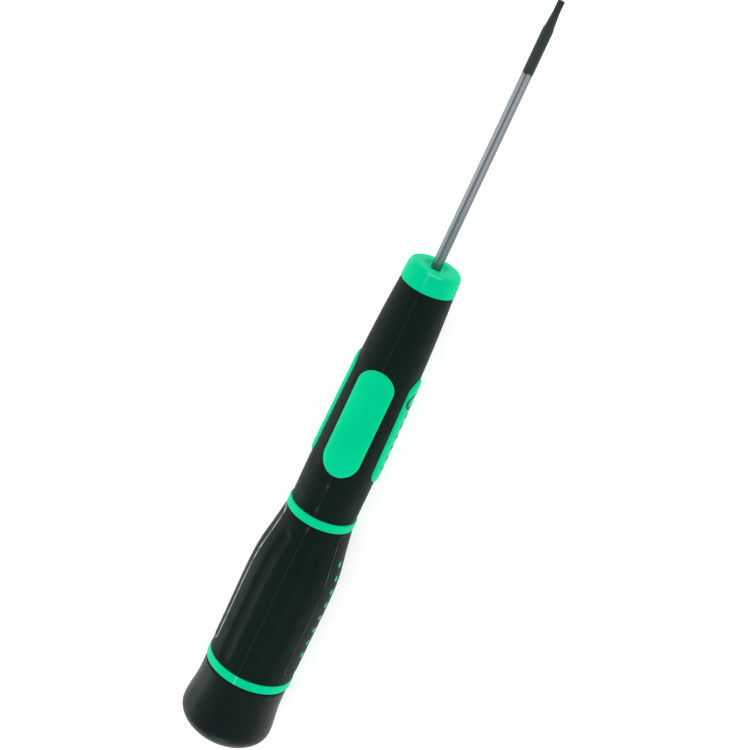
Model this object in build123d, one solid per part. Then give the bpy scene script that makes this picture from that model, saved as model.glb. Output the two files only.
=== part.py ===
from build123d import *
import os

# A precision screwdriver with a free-turning cap at its butt, lying on its side. Sizes are in millimetres.
# X runs along the tool's axis with the tip at +X, and Z is up. The origin is on the axis, in the plane of the
# collar's front face. The mould's parting plane is the XZ plane, so one grip pad faces straight up.

# Blade: a round steel bar with a small six-lobe star at its end.
exposed_length = 50.0  # from the floor of the collar's dish to the end of the star
shaft_radius = 0.94
step_from_end = 5.15  # from the end of the star back to where the full bar stops
step_length = 0.54
neck_radius = 0.81
star_length = 2.06
star_point_radius = 0.585
star_root_radius = 0.42
star_groove_radius = 0.195
star_lobes = 6
star_chamfer = 0.08
lock_groove_length = 0.8  # the moulding fills this groove just behind the dish
lock_groove_radius = 0.7
tang_length = 34.0  # the bar's hidden length behind the locking groove
wing_length = 5.0
wing_span = 3.4
wing_thickness = 0.8
wing_from_tang_end = 4.0

# Handle core, the hard green first moulding.
collar_length = 3.8
collar_front_radius = 4.71
collar_rear_radius = 4.99
collar_edge_radius = 1.0
dish_mouth_radius = 2.4
dish_floor_radius = 1.9
dish_depth = 0.5
neck_core_radius = 3.9
body_core_radius = 5.2
mid_ring_width = 1.65
mid_ring_radius = 6.35
lower_ring_width = 1.75
lower_ring_radius = 8.15
spigot_radius = 5.8
spigot_length = 2.0

# Grip pads, four of them, standing through the front grip.
pad_count = 4
pad_length = 21.0
pad_width = 6.82
pad_from_collar = 15.75
pad_rise = 0.4

# Front and rear grips, the black second moulding. Each outline gives radii at shares of the grip's length,
# counted from its front end.
front_grip_length = 45.55
front_grip_outline = ((0.0, 4.88), (0.16, 5.35), (0.32, 5.66), (0.61, 5.99), (0.83, 6.12), (1.0, 6.1))
rear_grip_length = 32.45
rear_grip_outline = ((0.0, 6.05), (0.17, 6.92), (0.29, 7.59), (0.41, 7.89), (0.65, 7.98), (1.0, 8.04))

# Two raised side panels on the rear grip, facing +Y and -Y.
panel_half_angle = 30.0
panel_from_mid_ring = 0.6
panel_to_lower_ring = 2.2
panel_rise_front = 0.25
panel_rise_rear = 0.08

# Four shallow finger flutes on the rear grip, two each side of the parting plane.
flute_angle = 29.0
flute_radius = 5.0
flute_depth = 0.35
flute_from_mid_ring = 4.0
flute_to_lower_ring = 2.1

# Plain green bars that show in the -Y panel, and the black marks set in the -Y pad.
# Each row is spread evenly between its first and last places.
bar_count = 8
bar_length = 3.4
bar_width = 1.1
bars_from_panel_front = 5.8
bars_to_panel_rear = 4.25
mark_depth = 0.3
mark_count = 6
mark_length = 1.3
mark_width = 0.9
marks_from_pad_front = 7.2
marks_to_pad_rear = 3.0
size_ring_length = 4.4
size_ring_width = 3.2
size_ring_wall = 0.45
size_ring_from_pad_front = 4.2

# Swivel cap, its pin and its washer.
cap_gap = 0.35
cap_front_radius = 7.97
cap_waist_radius = 8.16
cap_waist_from_front = 5.55
cap_widest_radius = 8.65
cap_widest_from_front = 10.1
cap_dome_length = 4.95
dome_fullness = 0.55  # of the way to the corner; 0.55 makes a quarter of an ellipse
cap_wall = 1.8
spigot_clearance = 0.35
hub_radius = 3.4
pin_radius = 1.5
pin_clearance = 0.05
pin_in_core = 9.0
pin_barb = 0.35  # how far the head stands out beyond the shank
pin_head_length = 1.6
pin_tip_radius = 1.1
bearing_length = 4.6
head_room = 0.4
washer_radius = 3.3
washer_thickness = 0.5
washer_play = 0.05

# Radii that fit to others.
pin_head_radius = pin_radius + pin_barb
cap_bore_radius = pin_radius + pin_clearance
head_hole_radius = pin_head_radius + pin_clearance
spigot_hole_radius = spigot_radius + spigot_clearance
cap_hollow_radius = cap_front_radius - cap_wall

# Stations along X.
dish_floor_x = -dish_depth
tip_x = dish_floor_x + exposed_length
tang_front_x = dish_floor_x - lock_groove_length
tang_rear_x = tang_front_x - tang_length
collar_rear_x = -collar_length
mid_ring_front_x = collar_rear_x - front_grip_length
mid_ring_rear_x = mid_ring_front_x - mid_ring_width
lower_ring_front_x = mid_ring_rear_x - rear_grip_length
lower_ring_rear_x = lower_ring_front_x - lower_ring_width
spigot_rear_x = lower_ring_rear_x - spigot_length
hub_front_x = spigot_rear_x - washer_thickness - washer_play
head_front_x = hub_front_x - bearing_length - washer_play
head_rear_x = head_front_x - pin_head_length
cap_front_x = lower_ring_rear_x - cap_gap
cap_widest_x = cap_front_x - cap_widest_from_front
cap_rear_x = cap_widest_x - cap_dome_length
pad_front_x = collar_rear_x - pad_from_collar
pad_rear_x = pad_front_x - pad_length
panel_front_x = mid_ring_rear_x - panel_from_mid_ring
panel_rear_x = lower_ring_front_x + panel_to_lower_ring
reach = 2 * cap_widest_radius  # longer than any radial cut or boss needs
side_plane = Plane(origin=(0, 0, 0), x_dir=(1, 0, 0), z_dir=(0, -1, 0))


def turned(outline, arc=360.0):
    """A solid of revolution about X from a closed outline of curves, drawn with Y as the radius."""
    return revolve(make_face(outline), Axis.X, arc)


def turned_from_points(points, arc=360.0):
    return turned(Polyline(*points, close=True), arc)


def outline_points(outline, front_x, length, rise_front=0.0, rise_rear=0.0):
    """Points of a grip's outline along X, lifted by a rise that runs evenly from one end to the other."""
    return [
        (front_x - share * length, radius + rise_front + share * (rise_rear - rise_front))
        for share, radius in outline
    ]


def barrel(points, arc=360.0):
    """A solid of revolution under a smooth outline, down to the axis."""
    front, rear = points[0], points[-1]
    sides = Polyline(rear, (rear[0], 0), (front[0], 0), front)
    return turned(Curve() + Spline(*points) + sides, arc)


def radius_at(points, x):
    """The radius of an outline at x, taken straight between its points."""
    for (front_x, front_radius), (rear_x, rear_radius) in zip(points, points[1:]):
        if rear_x <= x <= front_x:
            share = (front_x - x) / (front_x - rear_x)
            return front_radius + share * (rear_radius - front_radius)
    return points[-1][1]


def bars_out(first_x, last_x, count, width, length):
    """A row of plain bars with rounded ends, reaching out from the axis towards -Y."""
    pitch = (last_x - first_x) / (count - 1)
    row = Sketch()
    for n in range(count):
        row += Pos(first_x + n * pitch, 0) * SlotOverall(length, width, rotation=90)
    return extrude(side_plane * row, reach)


def make_blade():
    step_front_x = tip_x - step_from_end + step_length
    star_rear_x = tip_x - star_length
    bar = turned_from_points([
        (tip_x, 0),
        (tip_x, star_point_radius - star_chamfer),
        (tip_x - star_chamfer, star_point_radius),
        (star_rear_x, star_point_radius),
        (step_front_x, neck_radius),
        (step_front_x - step_length, shaft_radius),
        (dish_floor_x, shaft_radius),
        (dish_floor_x, lock_groove_radius),
        (tang_front_x, lock_groove_radius),
        (tang_front_x, shaft_radius),
        (tang_rear_x, shaft_radius),
        (tang_rear_x, 0),
    ])
    groove_centre = star_root_radius + star_groove_radius
    groove = Pos(star_rear_x, 0, groove_centre) * (
        Rot(Y=90) * extrude(Circle(star_groove_radius), star_length + star_chamfer)
        + Sphere(star_groove_radius)
    )
    for n in range(star_lobes):
        bar -= Rot(X=n * 360 / star_lobes) * groove
    wings_x = tang_rear_x + wing_from_tang_end + wing_length / 2
    wings = Pos(wings_x, 0, 0) * Box(wing_length, wing_span, wing_thickness)
    return bar + wings


def make_core_body():
    """The core's turned part: collar, neck, rings and the spigot that the cap turns round."""
    edge_x = -collar_edge_radius
    face_radius = collar_front_radius - collar_edge_radius
    outline = (
        Curve()
        + Polyline(
            (dish_floor_x, 0),
            (dish_floor_x, dish_floor_radius),
            (0, dish_mouth_radius),
            (0, face_radius),
        )
        + RadiusArc((0, face_radius), (edge_x, collar_front_radius), collar_edge_radius)
        + Polyline(
            (edge_x, collar_front_radius),
            (collar_rear_x, collar_rear_radius),
            (collar_rear_x, neck_core_radius),
            (mid_ring_front_x, neck_core_radius),
            (mid_ring_front_x, mid_ring_radius),
            (mid_ring_rear_x, mid_ring_radius),
            (mid_ring_rear_x, body_core_radius),
            (lower_ring_front_x, body_core_radius),
            (lower_ring_front_x, lower_ring_radius),
            (lower_ring_rear_x, lower_ring_radius),
            (lower_ring_rear_x, spigot_radius),
            (spigot_rear_x, spigot_radius),
            (spigot_rear_x, 0),
            (dish_floor_x, 0),
        )
    )
    return turned(outline)


def make_pads(skin):
    """The grip pads: straight-sided bosses with round ends, cut to the skin that they stand up to."""
    boss = Pos((pad_front_x + pad_rear_x) / 2, 0, 0) * extrude(SlotOverall(pad_length, pad_width), reach)
    pads = Part()
    for n in range(pad_count):
        pads += (Rot(X=n * 360 / pad_count) * boss) & skin
    return pads


def make_size_marks(skin, skin_floor):
    """One long ring across the pad and a row of bars, let into the -Y pad by the marks' depth."""
    hole = SlotOverall(size_ring_length - 2 * size_ring_wall, size_ring_width - 2 * size_ring_wall)
    ring = Rot(Z=90) * (SlotOverall(size_ring_length, size_ring_width) - hole)
    ring = extrude(side_plane * (Pos(pad_front_x - size_ring_from_pad_front, 0) * ring), reach)
    first_x = pad_front_x - marks_from_pad_front
    bars = bars_out(first_x, pad_rear_x + marks_to_pad_rear, mark_count, mark_width, mark_length)
    return ((ring + bars) & skin) - skin_floor


def make_flute(points):
    """A round-bottomed cut that follows the rear grip's outline in the XZ plane, with spoon-shaped ends."""
    lift = flute_radius - flute_depth
    front_x = mid_ring_rear_x - flute_from_mid_ring
    rear_x = lower_ring_front_x + flute_to_lower_ring
    between = [point for point in points if rear_x < point[0] < front_x]
    route = [(front_x, radius_at(points, front_x)), *between, (rear_x, radius_at(points, rear_x))]
    path = Spline(*[(x, 0, radius + lift) for x, radius in route])
    tube = sweep(Plane(origin=path @ 0, z_dir=path % 0) * Circle(flute_radius), path)
    return tube + Pos(path @ 0) * Sphere(flute_radius) + Pos(path @ 1) * Sphere(flute_radius)


def make_panels(points):
    """The two raised side panels: sectors of a solid of revolution, cut square at both ends."""
    middle_x = (panel_front_x + panel_rear_x) / 2
    sector = Rot(X=-panel_half_angle) * barrel(points, 2 * panel_half_angle)
    keep = Pos(middle_x, 0, 0) * Box(panel_front_x - panel_rear_x, 2 * reach, 2 * reach)
    panel = sector & keep
    return panel + Rot(X=180) * panel


def make_cap():
    pocket_rear_x = head_rear_x - head_room
    lip_x = head_front_x + washer_play
    flare = Spline(
        (cap_front_x, cap_front_radius),
        (cap_front_x - cap_waist_from_front, cap_waist_radius),
        (cap_widest_x, cap_widest_radius),
        tangents=((-1, 0), (-1, 0)),
    )
    dome = Bezier(
        (cap_widest_x, cap_widest_radius),
        (cap_widest_x - dome_fullness * cap_dome_length, cap_widest_radius),
        (cap_rear_x, dome_fullness * cap_widest_radius),
        (cap_rear_x, 0),
    )
    inside = Polyline(
        (cap_rear_x, 0),
        (pocket_rear_x, 0),
        (pocket_rear_x, head_hole_radius),
        (lip_x, head_hole_radius),
        (lip_x, cap_bore_radius),
        (hub_front_x, cap_bore_radius),
        (hub_front_x, hub_radius),
        (cap_widest_x, hub_radius),
        (cap_widest_x, cap_hollow_radius),
        (hub_front_x, cap_hollow_radius),
        (hub_front_x, spigot_hole_radius),
        (cap_front_x, spigot_hole_radius),
        (cap_front_x, cap_front_radius),
    )
    return turned(Curve() + flare + dome + inside)


def make_pin():
    return turned_from_points([
        (lower_ring_rear_x + pin_in_core, 0),
        (lower_ring_rear_x + pin_in_core, pin_radius),
        (head_front_x, pin_radius),
        (head_front_x, pin_head_radius),
        (head_rear_x, pin_tip_radius),
        (head_rear_x, 0),
    ])


def make_washer():
    ring = Circle(washer_radius) - Circle(cap_bore_radius)
    return Pos(spigot_rear_x - washer_thickness, 0, 0) * (Rot(Y=90) * extrude(ring, washer_thickness))


front_points = outline_points(front_grip_outline, collar_rear_x, front_grip_length)
rear_points = outline_points(rear_grip_outline, mid_ring_rear_x, rear_grip_length)
panel_points = outline_points(
    rear_grip_outline, mid_ring_rear_x, rear_grip_length, panel_rise_front, panel_rise_rear
)
pad_skin = barrel(outline_points(front_grip_outline, collar_rear_x, front_grip_length, pad_rise, pad_rise))
mark_floor_rise = pad_rise - mark_depth
mark_floor = barrel(
    outline_points(front_grip_outline, collar_rear_x, front_grip_length, mark_floor_rise, mark_floor_rise)
)

blade = make_blade()
cap_pin = make_pin()
size_marks = make_size_marks(pad_skin, mark_floor)

rear_form = barrel(rear_points) + make_panels(panel_points)
flute = make_flute(rear_points)
for side_turn in (0, 180):
    for angle in (-flute_angle, flute_angle):
        rear_form -= Rot(X=side_turn + angle) * flute

first_bar_x = panel_front_x - bars_from_panel_front
last_bar_x = panel_rear_x + bars_to_panel_rear
panel_bars = bars_out(first_bar_x, last_bar_x, bar_count, bar_width, bar_length) & rear_form
handle_core = make_core_body() + make_pads(pad_skin) + panel_bars - size_marks - blade - cap_pin

nodes = {
    "blade": blade,
    "handle_core": handle_core,
    "front_grip": barrel(front_points) - make_core_body() - make_pads(pad_skin),
    "rear_grip": rear_form - make_core_body() - panel_bars,
    "size_marks": size_marks,
    "swivel_cap": make_cap(),
    "cap_pin": cap_pin,
    "thrust_washer": make_washer(),
}

os.makedirs("parts", exist_ok=True)
for name, shape in nodes.items():
    export_step(shape, f"parts/{name}.step")
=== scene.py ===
import math

import bmesh
import bpy
import numpy as np
from mathutils import Matrix, Vector


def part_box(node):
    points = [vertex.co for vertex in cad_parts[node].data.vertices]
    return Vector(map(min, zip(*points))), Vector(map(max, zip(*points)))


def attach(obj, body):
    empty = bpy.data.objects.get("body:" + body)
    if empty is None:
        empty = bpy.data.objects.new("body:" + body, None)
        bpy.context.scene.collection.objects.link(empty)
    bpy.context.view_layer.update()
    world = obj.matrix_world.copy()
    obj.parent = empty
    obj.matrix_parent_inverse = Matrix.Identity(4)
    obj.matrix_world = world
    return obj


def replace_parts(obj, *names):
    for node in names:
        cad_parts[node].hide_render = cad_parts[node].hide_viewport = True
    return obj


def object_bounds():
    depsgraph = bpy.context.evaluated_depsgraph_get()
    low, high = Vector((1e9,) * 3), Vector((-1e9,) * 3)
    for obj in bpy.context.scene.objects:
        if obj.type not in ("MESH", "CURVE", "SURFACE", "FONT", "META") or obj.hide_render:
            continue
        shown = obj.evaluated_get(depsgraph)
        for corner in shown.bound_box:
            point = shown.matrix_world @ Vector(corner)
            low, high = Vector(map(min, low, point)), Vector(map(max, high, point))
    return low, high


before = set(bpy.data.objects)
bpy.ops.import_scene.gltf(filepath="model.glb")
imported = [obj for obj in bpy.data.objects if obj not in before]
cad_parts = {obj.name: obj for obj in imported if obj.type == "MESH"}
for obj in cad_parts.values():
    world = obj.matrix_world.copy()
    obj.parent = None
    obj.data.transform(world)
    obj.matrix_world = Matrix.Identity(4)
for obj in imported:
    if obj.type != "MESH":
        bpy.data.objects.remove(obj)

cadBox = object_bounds()
mm = 0.001
scene = bpy.context.scene
print("frame loaded:", sorted(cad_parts))

# The tool lies along X with its tip at +X. A turn is the angle round X, from straight up towards -Y.


# helpers for shapes

def smoothLine(knots, at, endSlopes=None):
    # Cubic spline through the knots. Its bends M solve h0*M0 + 2*(h0+h1)*M1 + h1*M2 = 6*(next slope - last).
    # A free end has no bend; a held end keeps its given slope.
    x, y = np.array(sorted(knots)).T
    h = np.diff(x)
    slope = np.diff(y) / h
    count = len(x)
    system = np.diag(np.r_[1.0, 2 * (h[:-1] + h[1:]), 1.0])
    inner = np.arange(1, count - 1)
    system[inner, inner - 1] = h[:-1]
    system[inner, inner + 1] = h[1:]
    side = np.r_[0.0, 6 * np.diff(slope), 0.0]
    if endSlopes is not None:
        system[0, :2] = 2 * h[0], h[0]
        system[-1, -2:] = h[-1], 2 * h[-1]
        side[0] = 6 * (slope[0] - endSlopes[0])
        side[-1] = 6 * (endSlopes[1] - slope[-1])
    bend = np.linalg.solve(system, side)
    span = np.clip(np.searchsorted(x, at) - 1, 0, count - 2)
    left, right = at - x[span], x[span + 1] - at
    return (
        (bend[span] * right**3 + bend[span + 1] * left**3) / (6 * h[span])
        + (y[span] / h[span] - bend[span] * h[span] / 6) * right
        + (y[span + 1] / h[span] - bend[span + 1] * h[span] / 6) * left
    )


def easedCorners(points, cut, steps=5):
    # Each corner P becomes the parabola (1-t)^2*A + 2t(1-t)*P + t^2*C, with A and C a cut's length before
    # and after it.
    points = np.array(points, float)
    last, corner, following = points[:-2], points[1:-1], points[2:]
    cut = np.broadcast_to(cut, len(corner))[:, None]
    before, after = last - corner, following - corner
    a = corner + before / np.linalg.norm(before, axis=1)[:, None] * cut
    c = corner + after / np.linalg.norm(after, axis=1)[:, None] * cut
    t = np.linspace(0, 1, steps)[None, :, None]
    arcs = (1 - t) ** 2 * a[:, None] + 2 * t * (1 - t) * corner[:, None] + t**2 * c[:, None]
    return np.vstack([points[:1], arcs.reshape(-1, 2), points[-1:]])


def crowded(low, high, count, places=(), reach=0.3, extra=8):
    # Even stations from low to high, with more of them within reach of each place.
    near = [np.linspace(place - reach, place + reach, extra) for place in places]
    stations = np.unique(np.round(np.concatenate([np.linspace(low, high, count), *near]), 5))
    return stations[(stations >= low) & (stations <= high)]


def placed(x, radius, turn):
    # A point at radius from the axis: y = -radius*sin(turn), z = radius*cos(turn), in metres.
    x, radius, turn = np.broadcast_arrays(x, radius, turn)
    return np.stack([x, -radius * np.sin(turn), radius * np.cos(turn)], -1) * mm


def newPiece(name, grids, body, material, wrapRows=False, sharp=32, paintedLight=None):
    # Quads between neighbours on each grid of points. Columns always close on themselves, rows if wrapRows.
    # The painted-light values, from 0 to 1, make plastic pale there as a painted highlight, and steel dark
    # there as a painted reflection.
    vertices, quads, start = [], [], 0
    for points in grids:
        rows, columns = points.shape[:2]
        index = start + np.arange(rows * columns).reshape(rows, columns)
        index = np.hstack([index, index[:, :1]])
        if wrapRows:
            index = np.vstack([index, index[:1]])
        corners = (index[:-1, :-1], index[:-1, 1:], index[1:, 1:], index[1:, :-1])
        quads.append(np.stack(corners, -1).reshape(-1, 4))
        vertices.append(points.reshape(-1, 3))
        start += rows * columns
    mesh = bpy.data.meshes.new(name)
    mesh.from_pydata(np.vstack(vertices).tolist(), [], np.vstack(quads).tolist())
    if paintedLight is not None:
        layer = mesh.attributes.new("paintedLight", "FLOAT", "POINT")
        layer.data.foreach_set("value", np.ascontiguousarray(np.clip(paintedLight, 0, 1), np.float32).ravel())
    work = bmesh.new()
    work.from_mesh(mesh)
    bmesh.ops.remove_doubles(work, verts=work.verts, dist=1e-7)
    bmesh.ops.dissolve_degenerate(work, edges=work.edges, dist=1e-8)
    bmesh.ops.recalc_face_normals(work, faces=work.faces)
    work.to_mesh(mesh)
    work.free()
    mesh.polygons.foreach_set("use_smooth", np.ones(len(mesh.polygons), bool))
    mesh.set_sharp_from_angle(angle=math.radians(sharp))
    mesh.materials.append(material)
    piece = bpy.data.objects.new(name, mesh)
    scene.collection.objects.link(piece)
    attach(piece, body)
    return piece


# helpers for materials

def srgb(code):
    # Linear light from a hex colour: c/12.92 near black, else ((c + 0.055)/1.055)^2.4.
    c = np.array([int(code[i:i + 2], 16) for i in (1, 3, 5)]) / 255
    linear = np.where(c <= 0.04045, c / 12.92, ((c + 0.055) / 1.055) ** 2.4)
    return (*linear.tolist(), 1.0)


def addNode(tree, kind, values=None, links=None, **settings):
    node = tree.nodes.new("ShaderNode" + kind)
    for name, value in settings.items():
        setattr(node, name, value)
    for socket, value in (values or {}).items():
        node.inputs[socket].default_value = value
    for socket, source in (links or {}).items():
        tree.links.new(source, node.inputs[socket])
    return node


def newMaterial(name, shaderValues):
    # A material with its shader and its Object coordinates scaled to millimetres.
    material = bpy.data.materials.new(name)
    material.use_nodes = True
    tree = material.node_tree
    tree.nodes.clear()
    shader = addNode(tree, "BsdfPrincipled", shaderValues)
    addNode(tree, "OutputMaterial", links={"Surface": shader.outputs["BSDF"]})
    coordinates = addNode(tree, "TexCoord")
    inMm = addNode(tree, "Mapping", {"Scale": (1000, 1000, 1000)}, {"Vector": coordinates.outputs["Object"]})
    return material, tree, shader, inMm.outputs["Vector"]


# Semi-gloss injection-moulded hard plastic, even in colour, with the soft ripple of a polished mould.
# Paler colour on the mould's parting line and in a few arcs on the collar's rim is painted highlight.
greenLook = {
    "colour": "#00D699", "deepColour": "#00D093", "paleColour": "#8CF2D6", "tint": "#5CFFD0",
    "roughness": (0.42, 0.52), "flowSize": 7.0, "hazeSize": 0.6, "rippleSize": 1.3, "rippleHeight": 0.012,
}


def makeGreenPlastic():
    look = greenLook
    material, tree, shader, position = newMaterial(
        "polishedMouldedGreenPlastic",
        {"IOR": 1.53, "Specular IOR Level": 0.05, "Specular Tint": srgb(look["tint"]), "Metallic": 0.0},
    )
    flow = addNode(tree, "TexNoise", {"Scale": 1 / look["flowSize"], "Detail": 3.0}, {"Vector": position})
    ramp = addNode(tree, "MapRange", {"From Min": 0.35, "From Max": 0.65}, {"Value": flow.outputs["Fac"]})
    body = addNode(
        tree, "MixRGB", {"Color1": srgb(look["deepColour"]), "Color2": srgb(look["colour"])},
        {"Fac": ramp.outputs["Result"]},
    )
    # Painted highlights: the pale colour is mixed in where the piece's painted-light values say.
    paintedLight = addNode(tree, "Attribute", attribute_name="paintedLight")
    mix = addNode(
        tree, "MixRGB", {"Color2": srgb(look["paleColour"])},
        {"Fac": paintedLight.outputs["Fac"], "Color1": body.outputs["Color"]},
    )
    tree.links.new(mix.outputs["Color"], shader.inputs["Base Color"])
    low, high = look["roughness"]
    haze = addNode(tree, "TexNoise", {"Scale": 1 / look["hazeSize"], "Detail": 4.0}, {"Vector": position})
    rough = addNode(
        tree, "MapRange", {"From Min": 0.3, "From Max": 0.7, "To Min": low, "To Max": high},
        {"Value": haze.outputs["Fac"]},
    )
    tree.links.new(rough.outputs["Result"], shader.inputs["Roughness"])
    ripple = addNode(tree, "TexNoise", {"Scale": 1 / look["rippleSize"], "Detail": 2.0}, {"Vector": position})
    bump = addNode(
        tree, "Bump", {"Strength": 0.6, "Distance": look["rippleHeight"] * mm},
        {"Height": ripple.outputs["Fac"]},
    )
    tree.links.new(bump.outputs["Normal"], shader.inputs["Normal"])
    return material


# Soft-touch rubbery plastic moulded over the core: near black with a cold green tint, a satin skin and a few
# dusty specks. Painted highlights make it pale along the panels' edges and the parting line, in uneven
# lengths.
blackLook = {
    "colour": "#091410", "dustColour": "#1A2521", "paleColour": "#D4DDD9", "tint": "#B4FFEC",
    "roughness": (0.48, 0.62), "dustSize": 0.35, "hazeSize": 2.5, "highlightPatchSize": 1.8, "rippleSize": 1.6,
    "rippleHeight": 0.02,
}


def makeBlackGrip():
    look = blackLook
    material, tree, shader, position = newMaterial(
        "satinOvermouldedBlackRubber",
        {"IOR": 1.5, "Specular IOR Level": 0.12, "Specular Tint": srgb(look["tint"]), "Metallic": 0.0},
    )
    dust = addNode(
        tree, "TexNoise", {"Scale": 1 / look["dustSize"], "Detail": 5.0, "Roughness": 0.7},
        {"Vector": position},
    )
    specks = addNode(tree, "MapRange", {"From Min": 0.66, "From Max": 0.8}, {"Value": dust.outputs["Fac"]})
    body = addNode(
        tree, "MixRGB", {"Color1": srgb(look["colour"]), "Color2": srgb(look["dustColour"])},
        {"Fac": specks.outputs["Result"]},
    )
    # Painted highlights: the pale colour, broken into uneven lengths by noise, is mixed in where the piece's
    # painted-light values say.
    paintedLight = addNode(tree, "Attribute", attribute_name="paintedLight")
    patches = addNode(tree, "TexNoise", {"Scale": 1 / look["highlightPatchSize"], "Detail": 3.0}, {"Vector": position})
    uneven = addNode(
        tree, "MapRange", {"From Min": 0.3, "From Max": 0.6, "To Min": 0.35},
        {"Value": patches.outputs["Fac"]},
    )
    paintedHighlightShare = addNode(
        tree, "Math", links={0: paintedLight.outputs["Fac"], 1: uneven.outputs["Result"]}, operation="MULTIPLY"
    )
    mix = addNode(
        tree, "MixRGB", {"Color2": srgb(look["paleColour"])},
        {"Fac": paintedHighlightShare.outputs["Value"], "Color1": body.outputs["Color"]},
    )
    tree.links.new(mix.outputs["Color"], shader.inputs["Base Color"])
    low, high = look["roughness"]
    haze = addNode(tree, "TexNoise", {"Scale": 1 / look["hazeSize"], "Detail": 4.0}, {"Vector": position})
    rough = addNode(
        tree, "MapRange", {"From Min": 0.3, "From Max": 0.7, "To Min": low, "To Max": high},
        {"Value": haze.outputs["Fac"]},
    )
    tree.links.new(rough.outputs["Result"], shader.inputs["Roughness"])
    ripple = addNode(tree, "TexNoise", {"Scale": 1 / look["rippleSize"], "Detail": 3.0}, {"Vector": position})
    bump = addNode(
        tree, "Bump", {"Strength": 0.5, "Distance": look["rippleHeight"] * mm},
        {"Height": ripple.outputs["Fac"]},
    )
    tree.links.new(bump.outputs["Normal"], shader.inputs["Normal"])
    return material


# Hard black plastic from a spark-eroded mould: a fine even grain scatters the light and greys its sides.
capLook = {
    "colour": "#060E0C", "paleColour": "#121C19", "tint": "#C8FFF2", "roughness": 0.4, "grainSize": 0.32,
    "grainHeight": 0.03, "dust": 0.05, "dustRoughness": 0.25,
}


def makeCapPlastic():
    look = capLook
    material, tree, shader, position = newMaterial(
        "sparkTexturedMouldedBlackPlastic",
        {
            "IOR": 1.5, "Specular IOR Level": 0.14, "Specular Tint": srgb(look["tint"]), "Metallic": 0.0,
            "Roughness": look["roughness"], "Sheen Weight": look["dust"],
            "Sheen Roughness": look["dustRoughness"],
        },
    )
    grain = addNode(
        tree, "TexNoise", {"Scale": 1 / look["grainSize"], "Detail": 3.0, "Roughness": 0.6},
        {"Vector": position},
    )
    pale = addNode(tree, "MapRange", {"From Min": 0.45, "From Max": 0.75}, {"Value": grain.outputs["Fac"]})
    mix = addNode(
        tree, "MixRGB", {"Color1": srgb(look["colour"]), "Color2": srgb(look["paleColour"])},
        {"Fac": pale.outputs["Result"]},
    )
    tree.links.new(mix.outputs["Color"], shader.inputs["Base Color"])
    bump = addNode(
        tree, "Bump", {"Strength": 0.9, "Distance": look["grainHeight"] * mm},
        {"Height": grain.outputs["Fac"]},
    )
    tree.links.new(bump.outputs["Normal"], shader.inputs["Normal"])
    return material


# Drawn tool-steel bar, satin plated: fine dark and light lines run along it. Six broader dark streaks along it
# are painted reflections, and it turns darker and greener towards the handle as a painted reflection of it.
# Its end is blackened, with a slightly uneven edge.
steelLook = {
    "colour": "#A8AFB4", "darkColour": "#82898E", "handleReflectionColour": "#527A72", "handleReflectionLength": 16.0,
    "handleReflectionShare": 0.5, "darkReflectionColour": "#4E5659", "darkReflectionShare": 0.8,
    "roughness": (0.24, 0.38), "lineWidth": 0.3, "lineLength": 40.0, "lineHeight": 0.012,
    "blackColour": "#273231", "deepBlackColour": "#1D2726", "blackRoughness": 0.5, "blackFromTip": 12.98,
    "edgeWave": 0.5, "edgeWaves": 0.9, "edgeBlur": 0.12, "mottleSize": 0.5, "blackMetal": 0.3,
}


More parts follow.
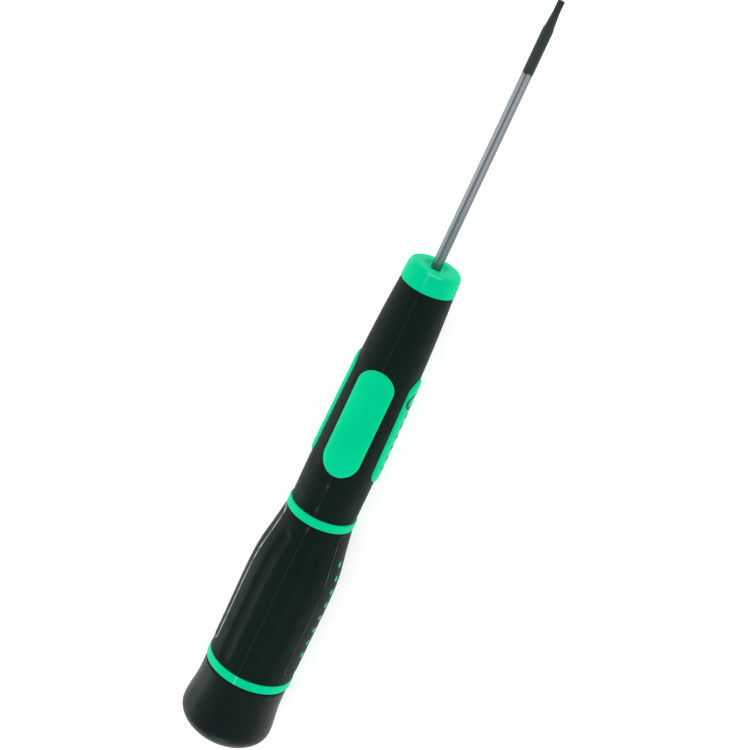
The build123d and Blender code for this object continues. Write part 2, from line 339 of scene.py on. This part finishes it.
def makeBladeSteel(tipX):
    look = steelLook
    material, tree, shader, position = newMaterial("drawnPlatedSteelBlackenedAtTip", {})
    across, run = 1 / look["lineWidth"], 1 / look["lineLength"]
    stretch = addNode(tree, "Mapping", {"Scale": (run, across, across)}, {"Vector": position})
    lines = addNode(
        tree, "TexNoise", {"Scale": 1.0, "Detail": 4.0, "Roughness": 0.6},
        {"Vector": stretch.outputs["Vector"]},
    )
    strong = addNode(tree, "MapRange", {"From Min": 0.36, "From Max": 0.6}, {"Value": lines.outputs["Fac"]})
    steel = addNode(
        tree, "MixRGB", {"Color1": srgb(look["darkColour"]), "Color2": srgb(look["colour"])},
        {"Fac": strong.outputs["Result"]},
    )
    # Painted reflections: dark streaks along the bar, where the piece's painted-light values say.
    paintedLight = addNode(tree, "Attribute", attribute_name="paintedLight")
    darkReflections = addNode(tree, "MapRange", {"To Max": look["darkReflectionShare"]}, {"Value": paintedLight.outputs["Fac"]})
    steel = addNode(
        tree, "MixRGB", {"Color2": srgb(look["darkReflectionColour"])},
        {"Fac": darkReflections.outputs["Result"], "Color1": steel.outputs["Color"]},
    )
    place = addNode(tree, "SeparateXYZ", links={"Vector": position})
    # Painted reflection of the green handle: darker and greener towards it.
    handleReflection = addNode(
        tree, "MapRange", {"From Min": look["handleReflectionLength"], "From Max": 0.0, "To Max": look["handleReflectionShare"]},
        {"Value": place.outputs["X"]}, interpolation_type="SMOOTHSTEP",
    )
    withHandleReflection = addNode(
        tree, "MixRGB", {"Color2": srgb(look["handleReflectionColour"])},
        {"Fac": handleReflection.outputs["Result"], "Color1": steel.outputs["Color"]},
    )
    wave = addNode(tree, "TexNoise", {"Scale": look["edgeWaves"], "Detail": 2.0}, {"Vector": position})
    shift = addNode(
        tree, "MapRange", {"To Min": -look["edgeWave"], "To Max": look["edgeWave"]},
        {"Value": wave.outputs["Fac"]},
    )
    along = addNode(tree, "Math", links={0: place.outputs["X"], 1: shift.outputs["Result"]}, operation="ADD")
    edge = tipX - look["blackFromTip"]
    blackened = addNode(
        tree, "MapRange", {"From Min": edge - look["edgeBlur"], "From Max": edge + look["edgeBlur"]},
        {"Value": along.outputs["Value"]}, interpolation_type="SMOOTHSTEP",
    )
    mottle = addNode(tree, "TexNoise", {"Scale": 1 / look["mottleSize"], "Detail": 3.0}, {"Vector": position})
    oxide = addNode(
        tree, "MixRGB", {"Color1": srgb(look["deepBlackColour"]), "Color2": srgb(look["blackColour"])},
        {"Fac": mottle.outputs["Fac"]},
    )
    colour = addNode(
        tree, "MixRGB", {},
        {
            "Fac": blackened.outputs["Result"], "Color1": withHandleReflection.outputs["Color"],
            "Color2": oxide.outputs["Color"],
        },
    )
    tree.links.new(colour.outputs["Color"], shader.inputs["Base Color"])
    low, high = look["roughness"]
    bright = addNode(tree, "MapRange", {"To Min": low, "To Max": high}, {"Value": lines.outputs["Fac"]})
    rough = addNode(
        tree, "Mix", {"B": look["blackRoughness"]},
        {"Factor": blackened.outputs["Result"], "A": bright.outputs["Result"]},
    )
    tree.links.new(rough.outputs["Result"], shader.inputs["Roughness"])
    metal = addNode(
        tree, "MapRange", {"To Min": 1.0, "To Max": look["blackMetal"]},
        {"Value": blackened.outputs["Result"]},
    )
    tree.links.new(metal.outputs["Result"], shader.inputs["Metallic"])
    bump = addNode(
        tree, "Bump", {"Strength": 0.4, "Distance": look["lineHeight"] * mm}, {"Height": lines.outputs["Fac"]}
    )
    tree.links.new(bump.outputs["Normal"], shader.inputs["Normal"])
    return material


# Black ink set in the green pad: flat, a little uneven where it wets the plastic.
inkLook = {"colour": "#0A1110", "paleColour": "#151E1D", "patchSize": 0.3, "roughness": (0.35, 0.6)}
# Natural acetal, punched from sheet: milky white and waxy.
washerLook = {"colour": "#DDDCD4", "paleColour": "#EDECE6", "patchSize": 0.8, "roughness": (0.35, 0.5)}
# Turned steel for the hidden pin: bright, with fine rings from the tool.
pinLook = {"colour": "#8C9195", "paleColour": "#A9AEB1", "roughness": (0.22, 0.34), "ringScale": 4.0}


def makeTwoTone(name, look, shaderValues):
    # Two near colours and their roughness follow one pattern: rings from a turning tool, or soft patches.
    material, tree, shader, position = newMaterial(name, shaderValues)
    if "ringScale" in look:
        pattern = addNode(
            tree, "TexWave", {"Scale": look["ringScale"], "Distortion": 0.4}, {"Vector": position},
            bands_direction="X",
        )
    else:
        pattern = addNode(
            tree, "TexNoise", {"Scale": 1 / look["patchSize"], "Detail": 3.0}, {"Vector": position}
        )
    mix = addNode(
        tree, "MixRGB", {"Color1": srgb(look["colour"]), "Color2": srgb(look["paleColour"])},
        {"Fac": pattern.outputs["Fac"]},
    )
    tree.links.new(mix.outputs["Color"], shader.inputs["Base Color"])
    low, high = look["roughness"]
    rough = addNode(tree, "MapRange", {"To Min": low, "To Max": high}, {"Value": pattern.outputs["Fac"]})
    tree.links.new(rough.outputs["Result"], shader.inputs["Roughness"])
    return material


greenPlastic = makeGreenPlastic()
blackGrip = makeBlackGrip()
capPlastic = makeCapPlastic()
bladeSteel = makeBladeSteel(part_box("blade")[1].x / mm)
markInk = makeTwoTone("settledBlackInk", inkLook, {"IOR": 1.48})
print("materials made")


# stations along the tool, in millimetres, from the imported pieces

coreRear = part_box("handle_core")[0].x / mm
frontGripRear, frontGripFront = (corner.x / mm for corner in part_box("front_grip"))
rearGripRear, rearGripFront = (corner.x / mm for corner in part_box("rear_grip"))
capRear, capFront = (corner.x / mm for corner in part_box("swivel_cap"))
bladeRear, bladeTip = (corner.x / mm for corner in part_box("blade"))
spigotLength = 2.0
lowerRingRear = coreRear + spigotLength

fullTurn = 2 * math.pi
seams = (0, math.pi, fullTurn)  # the parting line's turns


# blade

blade = {
    "shaftRadius": 0.94, "neckRadius": 0.81, "stepFromTip": 5.15, "stepLength": 0.54, "starLength": 2.06,
    "pointRadius": 0.585, "grooveCentre": 0.615, "grooveRadius": 0.195, "lobes": 6, "chamfer": 0.08,
    "lines": 6, "firstReflection": -3.0, "reflectionSpread": 11.0, "columns": 240, "starStep": 0.12, "shaftStep": 2.0,
    "finePart": 2.46,
}


def makeBlade():
    # A turned bar. Near the tip six round grooves cut it: r = c*cos(d) - sqrt(g^2 - (c*sin(d))^2), d from the
    # groove's middle. The darker lines along the bar are painted reflections, bells round the bar:
    # exp(-(turn/spread)^2).
    stepX = bladeTip - blade["stepFromTip"]
    starRear = bladeTip - blade["starLength"]
    outline = easedCorners(
        [
            (bladeTip, 0), (bladeTip, blade["pointRadius"] - blade["chamfer"]),
            (bladeTip - blade["chamfer"], blade["pointRadius"]), (starRear, blade["pointRadius"]),
            (stepX + blade["stepLength"], blade["neckRadius"]), (stepX, blade["shaftRadius"]),
            (bladeRear, blade["shaftRadius"]), (bladeRear, 0),
        ],
        [0.02, 0.02, 0.1, 0.1, 0.15, 0.1], 4,
    )
    pieces = [outline[:1]]
    for start, end in zip(outline[:-1], outline[1:]):
        step = blade["starStep"] if end[0] > bladeTip - blade["finePart"] else blade["shaftStep"]
        steps = max(1, int(np.hypot(*(end - start)) / step))
        pieces.append(start + (end - start) * np.linspace(0, 1, steps + 1)[1:, None])
    line = np.vstack(pieces)
    turn = np.linspace(0, fullTurn, blade["columns"], endpoint=False)
    x, radius = line[:, :1], np.repeat(line[:, 1:], len(turn), 1)
    pitch = fullTurn / blade["lobes"]
    off = (turn + pitch / 2) % pitch - pitch / 2
    back = np.clip(starRear - x, 0, None)
    groove = np.sqrt(np.clip(blade["grooveRadius"] ** 2 - back**2, 0, None))
    centre = blade["grooveCentre"]
    inside = groove**2 - (centre * np.sin(off)) ** 2
    floor = np.where(inside > 0, centre * np.cos(off) - np.sqrt(np.clip(inside, 0, None)), np.inf)
    radius = np.minimum(radius, floor)
    spacing = fullTurn / blade["lines"]
    fromReflection = (turn - math.radians(blade["firstReflection"]) + spacing / 2) % spacing - spacing / 2
    # Painted reflections: six dark lines along the bar.
    paintedDarkReflection = np.broadcast_to(np.exp(-((fromReflection / math.radians(blade["reflectionSpread"])) ** 2)), radius.shape)
    points = placed(x, radius, turn)
    return newPiece("bladeBar", [points], "handle", bladeSteel, sharp=28, paintedLight=paintedDarkReflection)


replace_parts(makeBlade(), "blade")
print("blade made")


# green core

core = {
    "collarFront": 4.71, "collarRear": 4.99, "collarEdge": 1.0, "dishMouth": 2.4, "dishFloor": 1.9,
    "dishDepth": 0.5, "neck": 3.9, "body": 5.2, "midRing": 6.35, "lowerRing": 8.15, "spigot": 5.8,
    "edge": 0.14, "lineHeight": 0.012, "lineWidth": 0.07, "lineHighlight": 0.3, "faceShare": 1.0, "sideShare": 0.05,
    "ringShare": 2.6, "rimHighlight": 0.5, "rimFromFront": 0.32, "rimWidth": 0.1, "rimArcs": 4, "rimPhase": 0.6,
}


def partingArc(radius, turn):
    # How far round the surface a point is from the parting plane, above or below: radius*(turn from 0 or pi).
    return radius * np.abs((turn + math.pi / 2) % math.pi - math.pi / 2)


def bell(distance, width):
    # exp(-(distance/width)^2)
    return np.exp(-((distance / width) ** 2))


def makeCore():
    # A turned profile from the dish in the collar back to the spigot, with its corners eased. The parting
    # line is a ridge of height*exp(-(arc/width)^2), square to the profile. Painted highlight makes it pale,
    # palest on the lower ring, and pale arcs of painted highlight lie on the collar's rim.
    edge, ease = core["collarEdge"], core["edge"]
    outline = easedCorners(
        [
            (-core["dishDepth"], 0), (-core["dishDepth"], core["dishFloor"]), (0, core["dishMouth"]),
            (0, core["collarFront"]), (frontGripFront, core["collarRear"]), (frontGripFront, core["neck"]),
            (frontGripRear, core["neck"]), (frontGripRear, core["midRing"]), (rearGripFront, core["midRing"]),
            (rearGripFront, core["body"]), (rearGripRear, core["body"]), (rearGripRear, core["lowerRing"]),
            (lowerRingRear, core["lowerRing"]), (lowerRingRear, core["spigot"]), (coreRear, core["spigot"]),
            (coreRear, 0),
        ],
        [0.3, 0.4, edge, ease, 0.1, 0.1, ease, ease, 0.1, 0.1, ease, ease, 0.1, 0.2], 9,
    )
    turn = crowded(0, fullTurn, 181, seams, 0.07, 17)[:-1]
    slope = np.gradient(outline, axis=0)
    slope = slope / np.linalg.norm(slope, axis=1)[:, None]
    x, radius = outline[:, :1], outline[:, 1:]
    line = bell(partingArc(radius, turn), core["lineWidth"]) * (radius > core["dishMouth"])
    arcs = np.clip(np.sin(core["rimArcs"] * turn + core["rimPhase"]), 0, 1)
    rim = bell(x + core["rimFromFront"], core["rimWidth"]) * arcs
    share = np.where(x < -edge, core["sideShare"], core["faceShare"])
    share = np.where(x < rearGripRear, core["ringShare"], share)
    # Painted highlights: along the parting line, palest on the lower ring, and in arcs on the collar's rim.
    paintedHighlight = core["lineHighlight"] * line * share + core["rimHighlight"] * rim
    height = core["lineHeight"] * line
    points = placed(x + height * slope[:, 1:], radius - height * slope[:, :1], turn)
    return newPiece("greenCore", [points], "handle", greenPlastic, paintedLight=paintedHighlight)


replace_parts(makeCore(), "handle_core")
print("core made")


# front and rear grips

pads = {
    "count": 4, "length": 21.0, "width": 6.82, "sideWidth": 5.0, "fromFront": 15.75, "rise": 0.4, "edge": 1.2,
    "fall": 0.34, "depth": 0.8,
}
frontGrip = {
    "outline": ((0.0, 4.88), (0.16, 5.35), (0.32, 5.66), (0.61, 5.99), (0.83, 6.12), (1.0, 6.1)),
    "bore": 3.9, "edge": 0.15, "lineHeight": 0.022, "lineWidth": 0.07, "lineHighlight": 0.03,
    "highlightSpots": ((39.0, 0.4, 0.08), (43.9, 0.4, 0.06)),
}
rearGrip = {
    "outline": ((0.0, 6.05), (0.17, 6.92), (0.29, 7.59), (0.41, 7.89), (0.65, 7.98), (1.0, 8.04)),
    "bore": 5.2, "edge": 0.15, "lineHeight": 0.022, "lineWidth": 0.07, "lineHighlight": 0.04,
    "panelHalfAngle": 30.0, "panelFromFront": 0.6, "panelToRear": 2.2, "panelRise": (0.25, 0.08),
    "panelEase": 0.06, "panelCorner": 1.1, "panelEdgeHighlight": (0.12, 1.0), "panelEdgeHighlightWidth": 0.07,
    "fluteAngle": 29.0, "fluteRadius": 5.0, "fluteDepth": 0.3, "fluteFromFront": 4.0, "fluteToRear": 2.1,
    "highlightSpots": ((0.9, 0.4, 0.08),),
}


def outlineRadius(grip, front, rear, x):
    return smoothLine([(front - share * (front - rear), radius) for share, radius in grip["outline"]], x)


def frontRadius(x):
    return outlineRadius(frontGrip, frontGripFront, frontGripRear, x)


def rearRadius(x):
    return outlineRadius(rearGrip, rearGripFront, rearGripRear, x)


def panelRise(x):
    share = (rearGripFront - x) / (rearGripFront - rearGripRear)
    return rearGrip["panelRise"][0] + share * (rearGrip["panelRise"][1] - rearGrip["panelRise"][0])


def endRound(x, front, rear, edge):
    # A quarter circle at each end: edge - sqrt(edge^2 - (edge - d)^2), d from the nearer end.
    d = np.clip(np.minimum(front - x, x - rear), 0, edge)
    return edge - np.sqrt(edge**2 - (edge - d) ** 2)


def softStep(distance, ease):
    return 0.5 + 0.5 * np.tanh(distance / ease)


def sleeve(x, radius, turn, bore, paintedHighlight):
    # The outside from rear to front, then the straight bore back again, as one closed grid.
    outside = placed(x, radius, turn)
    inside = placed(x[[-1, 0]], bore, turn)
    return np.concatenate([outside, inside]), np.concatenate([paintedHighlight, np.zeros(inside.shape[:2])])


def partingRidge(grip, front, x, radius, turn):
    # The ridge's height and its painted highlight: a bell across it, and wider, paler bells of painted
    # highlight at spots along it.
    arc = partingArc(radius, turn)
    line = bell(arc, grip["lineWidth"])
    paintedHighlight = grip["lineHighlight"] * line
    for back, size, highlightStrength in grip["highlightSpots"]:
        paintedHighlight = paintedHighlight + highlightStrength * bell(x - (front - back), size) * bell(arc, 3 * grip["lineWidth"])
    return grip["lineHeight"] * line, paintedHighlight


def makeFrontGrip():
    grip = frontGrip
    ends = (frontGripRear, frontGripFront)
    x = crowded(*ends, 120, ends, grip["edge"], 12)[:, None]
    turn = crowded(0, fullTurn, 181, seams, 0.08, 21)[:-1]
    base = frontRadius(x)
    ridge, paintedHighlight = partingRidge(grip, frontGripFront, x, base, turn)
    radius = base + ridge - endRound(x, frontGripFront, frontGripRear, grip["edge"])
    points, paintedHighlight = sleeve(x, radius, turn, grip["bore"], paintedHighlight)
    return newPiece("frontGripSkin", [points], "handle", blackGrip, True, paintedLight=paintedHighlight)


def fluteFloor(x, turn):
    # The near side of a round cut whose axis runs above the surface: r = c*cos(d) - sqrt(q^2 - (c*sin(d))^2).
    # Past its ends the cut is a ball: q^2 shrinks by the distance squared.
    grip = rearGrip
    front, rear = rearGripFront - grip["fluteFromFront"], rearGripRear + grip["fluteToRear"]
    past = np.clip(x - front, 0, None) + np.clip(rear - x, 0, None)
    centre = rearRadius(np.clip(x, rear, front)) + grip["fluteRadius"] - grip["fluteDepth"]
    reach = grip["fluteRadius"] ** 2 - past**2
    floor = np.full(np.broadcast(x, turn).shape, np.inf)
    angle = math.radians(grip["fluteAngle"])
    for middle in (-angle, angle, math.pi - angle, math.pi + angle):
        d = (turn - middle + math.pi) % fullTurn - math.pi
        inside = reach - (centre * np.sin(d)) ** 2
        cut = centre * np.cos(d) - np.sqrt(np.clip(inside, 0, None))
        floor = np.where((inside > 0) & (np.cos(d) > 0), np.minimum(floor, cut), floor)
    return floor


def panelDistance(x, base, turn):
    # Distance outside a round-cornered rectangle laid on the skin, its sides at arcs from the +Y or -Y line.
    grip = rearGrip
    front, rear = rearGripFront - grip["panelFromFront"], rearGripRear + grip["panelToRear"]
    corner = grip["panelCorner"]
    pastEnd = np.abs(x - (front + rear) / 2) - ((front - rear) / 2 - corner)
    fromMiddle = base * np.abs((turn % math.pi) - math.pi / 2)
    pastSide = fromMiddle - (base * math.radians(grip["panelHalfAngle"]) - corner)
    outside = np.hypot(np.clip(pastEnd, 0, None), np.clip(pastSide, 0, None))
    return outside + np.minimum(np.maximum(pastEnd, pastSide), 0) - corner


def makeRearGrip():
    grip = rearGrip
    ends = (rearGripRear, rearGripFront)
    panelEnds = (rearGripFront - grip["panelFromFront"], rearGripRear + grip["panelToRear"])
    x = np.union1d(
        crowded(*ends, 110, ends, grip["edge"], 10), crowded(*ends, 2, panelEnds, grip["panelCorner"], 20)
    )[:, None]
    half = math.radians(grip["panelHalfAngle"])
    sides = [middle + way * half for middle in (math.pi / 2, 3 * math.pi / 2) for way in (-1, 1)]
    turn = np.union1d(
        crowded(0, fullTurn, 181, seams, 0.08, 21),
        crowded(0, fullTurn, 2, sides, 0.06, 25),
    )[:-1]
    base = rearRadius(x)
    ridge, paintedHighlight = partingRidge(grip, rearGripFront, x, base, turn)
    floor = fluteFloor(x, turn)
    radius = np.minimum(base + ridge, floor)
    outside = panelDistance(x, base, turn)
    radius = radius + panelRise(x) * softStep(-outside, grip["panelEase"])
    radius = radius - endRound(x, rearGripFront, rearGripRear, grip["edge"])
    # Painted highlights along the panels' edges: full on the +Y panel, as if lit from that side, and faint on
    # the -Y panel.
    highlightStrength = np.where(turn < math.pi, *grip["panelEdgeHighlight"])
    paintedHighlight = paintedHighlight + highlightStrength * bell(outside, grip["panelEdgeHighlightWidth"])
    points, paintedHighlight = sleeve(x, radius, turn, grip["bore"], paintedHighlight)
    return newPiece("rearGripSkin", [points], "handle", blackGrip, True, paintedLight=paintedHighlight)


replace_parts(makeFrontGrip(), "front_grip")
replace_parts(makeRearGrip(), "rear_grip")
print("grips made")


# pads, bars and marks: low shapes that follow the skin under them

bars = {
    "count": 8, "length": 3.4, "width": 1.1, "fromPanelFront": 5.8, "toPanelRear": 4.25, "rise": 0.03,
    "edge": 0.05, "fall": 0.05, "depth": 0.4,
}
marks = {
    "count": 6, "length": 1.3, "width": 0.9, "fromPadFront": 7.2, "toPadRear": 3.0,
    "rise": pads["rise"] + 0.02, "edge": 0.03, "fall": 0.03, "depth": 0.2, "ringLength": 4.4, "ringWidth": 3.2,
    "ringWall": 0.55, "ringFromPadFront": 4.2,
}


def roundEnded(x, along, across, count=24):
    # A slot's edge, along and across the tool, and the middle line that each edge point looks back to.
    angle = np.linspace(0, fullTurn, 2 * count, endpoint=False) + math.pi / (2 * count)
    radius = min(along, across) / 2
    run = np.sign(np.cos(angle)) * (max(along, across) / 2 - radius)
    middle = np.stack([run, np.zeros_like(run)], -1)
    edge = middle + radius * np.stack([np.cos(angle), np.sin(angle)], -1)
    if across > along:
        middle, edge = middle[:, ::-1], edge[:, ::-1]
    return middle + (x, 0), edge + (x, 0)


def inlay(middle, edge, turn, skin, look, rings=14, rimRings=8):
    # Points from the middle out to the edge, over a rounded rim, then straight down and back underneath.
    # radius = skin(x) + rise - fall*(1 - sqrt(1 - (1 - d/e)^2)), with d from the edge and e the rim's width,
    # and the turn across is asin(across/radius), so the walls stand square to the skin.
    width = np.linalg.norm(edge - middle, axis=1)[:, None]
    rim = np.clip(look["edge"] / width, 0, 0.5)
    flatShare = np.linspace(0.08, 1, rings)[None] * (1 - rim)
    rimShare = 1 - rim * np.cos(np.linspace(0.2, math.pi / 2, rimRings))[None]
    share = np.hstack([np.zeros_like(width), flatShare, rimShare]).T[:, :, None]
    flat = middle[None] + (edge - middle)[None] * share
    inward = np.clip((1 - share[:, :, 0]) * width.T / look["edge"], 0, 1)
    full = skin(flat[:, :, 0]) + look["rise"]
    radius = full - look["fall"] * (1 - np.sqrt(1 - (1 - inward) ** 2))
    side = turn + np.arcsin(flat[:, :, 1] / radius)
    top = placed(flat[:, :, 0], radius, side)
    bottom = placed(flat[::-1, :, 0], (full - look["depth"])[::-1], side[::-1])
    return np.concatenate([top, bottom])


def makePads():
    x = frontGripFront - pads["fromFront"] - pads["length"] / 2
    grids = []
    for n in range(pads["count"]):
        middle, edge = roundEnded(x, pads["length"], pads["sideWidth" if n % 2 else "width"])
        grids.append(inlay(middle, edge, n * fullTurn / pads["count"], frontRadius, pads))
    return newPiece("gripPads", grids, "handle", greenPlastic)


def panelSkin(x):
    return rearRadius(x) + panelRise(x)


def makeBars():
    panelFront = rearGripFront - rearGrip["panelFromFront"]
    panelRear = rearGripRear + rearGrip["panelToRear"]
    places = np.linspace(panelFront - bars["fromPanelFront"], panelRear + bars["toPanelRear"], bars["count"])
    shapes = [roundEnded(x, bars["width"], bars["length"]) for x in places]
    grids = [inlay(*shape, math.pi / 2, panelSkin, bars) for shape in shapes]
    return newPiece("panelBars", grids, "handle", greenPlastic)


def makeMarks():
    padFront = frontGripFront - pads["fromFront"]
    padRear = padFront - pads["length"]
    places = np.linspace(padFront - marks["fromPadFront"], padRear + marks["toPadRear"], marks["count"])
    shapes = [roundEnded(x, marks["width"], marks["length"]) for x in places]
    ringX, hole = padFront - marks["ringFromPadFront"], 2 * marks["ringWall"]
    outer = roundEnded(ringX, marks["ringWidth"], marks["ringLength"])[1]
    inner = roundEnded(ringX, marks["ringWidth"] - hole, marks["ringLength"] - hole)[1]
    shapes.append((inner, outer))
    grids = [inlay(*shape, math.pi / 2, frontRadius, marks) for shape in shapes]
    return newPiece("sizeMarks", grids, "handle", markInk, True)


makePads()
makeBars()
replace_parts(makeMarks(), "size_marks")
print("pads, bars and marks made")


# swivel cap

cap = {
    "front": 7.97, "waist": 8.16, "waistFromFront": 5.55, "widest": 8.648, "widestFromFront": 10.1,
    "fullness": 0.55, "spigotHole": 6.15, "hollow": 6.17, "hub": 3.4, "bore": 1.55, "headHole": 1.9,
    "edge": 0.25, "hubFromSpigot": 0.55, "bearing": 4.6, "pocket": 2.05,
}


def makeCap():
    # The flare is a spline level at both ends. The dome is a cubic curve, (1-t)^3*A + 3t(1-t)^2*B +
    # 3t^2(1-t)*C + t^3*D, that leaves it level and meets the axis square.
    widestX = capFront - cap["widestFromFront"]
    hubFront = coreRear - cap["hubFromSpigot"]
    lip = hubFront - cap["bearing"]
    pocket = lip - cap["pocket"]
    x = np.linspace(capFront, widestX, 30)
    waistX = capFront - cap["waistFromFront"]
    knots = [(capFront, cap["front"]), (waistX, cap["waist"]), (widestX, cap["widest"])]
    flare = smoothLine(knots, x, (0, 0)) - endRound(x, capFront, capRear, cap["edge"])
    t = np.linspace(0, 1, 32)[1:, None]
    a, b, c, d = np.array([
        (widestX, cap["widest"]), (widestX - cap["fullness"] * (widestX - capRear), cap["widest"]),
        (capRear, cap["fullness"] * cap["widest"]), (capRear, 0),
    ])
    dome = (1 - t) ** 3 * a + 3 * t * (1 - t) ** 2 * b + 3 * t**2 * (1 - t) * c + t**3 * d
    inside = np.array([
        (pocket, 0), (pocket, cap["headHole"]), (lip, cap["headHole"]), (lip, cap["bore"]),
        (hubFront, cap["bore"]), (hubFront, cap["hub"]), (widestX, cap["hub"]), (widestX, cap["hollow"]),
        (hubFront, cap["hollow"]), (hubFront, cap["spigotHole"]), (capFront, cap["spigotHole"]),
    ])
    outline = np.vstack([inside, np.stack([x, flare], -1), dome])
    turn = np.linspace(0, fullTurn, 180, endpoint=False)
    points = placed(outline[:, :1], outline[:, 1:], turn)
    return newPiece("capShell", [points], "cap", capPlastic)


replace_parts(makeCap(), "swivel_cap")
pinSteel = makeTwoTone("turnedBrightSteel", pinLook, {"Metallic": 1.0})
washerPlastic = makeTwoTone("punchedWhiteAcetal", washerLook, {"IOR": 1.48})
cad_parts["cap_pin"].material_slots[0].material = pinSteel
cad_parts["thrust_washer"].material_slots[0].material = washerPlastic
print("cap made")


# floor, light and camera

studio = {
    "floorColour": "#F4F4F2", "floorPale": "#FAFAF9", "floorGlow": 0.45, "floorHalf": 3.0, "fibreSize": 1.5,
    "worldStrength": 0.82, "lookAt": (-0.022, 0, 0),
    "lights": (
        ("leftSoftbox", (-0.02, 0.46, 0.40), (0.9, 0.2), 0.4),
        ("lowLeftSoftbox", (-0.30, 0.45, 0.05), (0.2, 0.06), 0.3),
        ("rightSoftbox", (0.02, -0.46, 0.40), (0.9, 0.2), 0.25),
        ("tipSoftbox", (0.60, 0.05, 0.40), (0.5, 0.3), 0.12),
        ("buttSoftbox", (-0.50, -0.10, 0.16), (0.12, 0.06), 0.35),
    ),
}


def makeFloor():
    # A matt white sheet that glows a little, so that hardly a shadow is left on it.
    material, tree, shader, position = newMaterial(
        "backlitMattWhiteSheet",
        {
            "Roughness": 0.9, "Specular IOR Level": 0.1, "Emission Color": (1, 1, 1, 1),
            "Emission Strength": studio["floorGlow"],
        },
    )
    fibre = addNode(tree, "TexNoise", {"Scale": 1 / studio["fibreSize"], "Detail": 4.0}, {"Vector": position})
    mix = addNode(
        tree, "MixRGB", {"Color1": srgb(studio["floorColour"]), "Color2": srgb(studio["floorPale"])},
        {"Fac": fibre.outputs["Fac"]},
    )
    tree.links.new(mix.outputs["Color"], shader.inputs["Base Color"])
    mesh = bpy.data.meshes.new("floorSheet")
    size, z = studio["floorHalf"], cadBox[0][2]
    corners = [(-size, -size, z), (size, -size, z), (size, size, z), (-size, size, z)]
    mesh.from_pydata(corners, [], [(0, 1, 2, 3)])
    mesh.materials.append(material)
    floor = bpy.data.objects.new("floorSheet", mesh)
    scene.collection.objects.link(floor)


def makeLights():
    world = bpy.data.worlds.new("softWhiteRoom")
    world.use_nodes = True
    background = world.node_tree.nodes["Background"]
    background.inputs["Color"].default_value = (1, 1, 1, 1)
    background.inputs["Strength"].default_value = studio["worldStrength"]
    scene.world = world
    for name, place, size, power in studio["lights"]:
        light = bpy.data.lights.new(name, "AREA")
        light.shape = "RECTANGLE"
        light.size, light.size_y = size
        light.energy = power
        lamp = bpy.data.objects.new(name, light)
        lamp.location = place
        toward = Vector(studio["lookAt"]) - Vector(place)
        lamp.rotation_euler = toward.to_track_quat("-Z", "Y").to_euler()
        scene.collection.objects.link(lamp)


camera = {
    "lens": 109.4, "sensor": 36.0, "distance": 391.5, "lookAt": -22.7, "sideTurn": 8.0, "tipward": 22.25,
    "axisInView": 64.9, "offset": 1.66,
}


def makeCamera():
    # The tool's axis stands at axisInView degrees in the picture, and leans tipward degrees from square to it.
    side, lean, up = (math.radians(camera[key]) for key in ("sideTurn", "tipward", "axisInView"))
    towards = Vector((0, -math.sin(side), math.cos(side)))
    across = Vector((0, -math.cos(side), -math.sin(side)))
    axis = Vector((1, 0, 0))
    back = math.cos(lean) * towards + math.sin(lean) * axis
    along = math.cos(lean) * axis - math.sin(lean) * towards
    right = math.cos(up) * along + math.sin(up) * across
    top = math.sin(up) * along - math.cos(up) * across
    place = (Vector((camera["lookAt"], 0, 0)) + camera["distance"] * back - camera["offset"] * across) * mm
    data = bpy.data.cameras.new("productCamera")
    data.lens, data.sensor_width, data.clip_start = camera["lens"], camera["sensor"], 0.01
    view = bpy.data.objects.new("productCamera", data)
    matrix = Matrix((right, top, back)).transposed().to_4x4()
    matrix.translation = place
    view.matrix_world = matrix
    scene.collection.objects.link(view)
    scene.camera = view


makeFloor()
makeLights()
makeCamera()
scene.view_settings.view_transform = "Standard"
print("studio made")
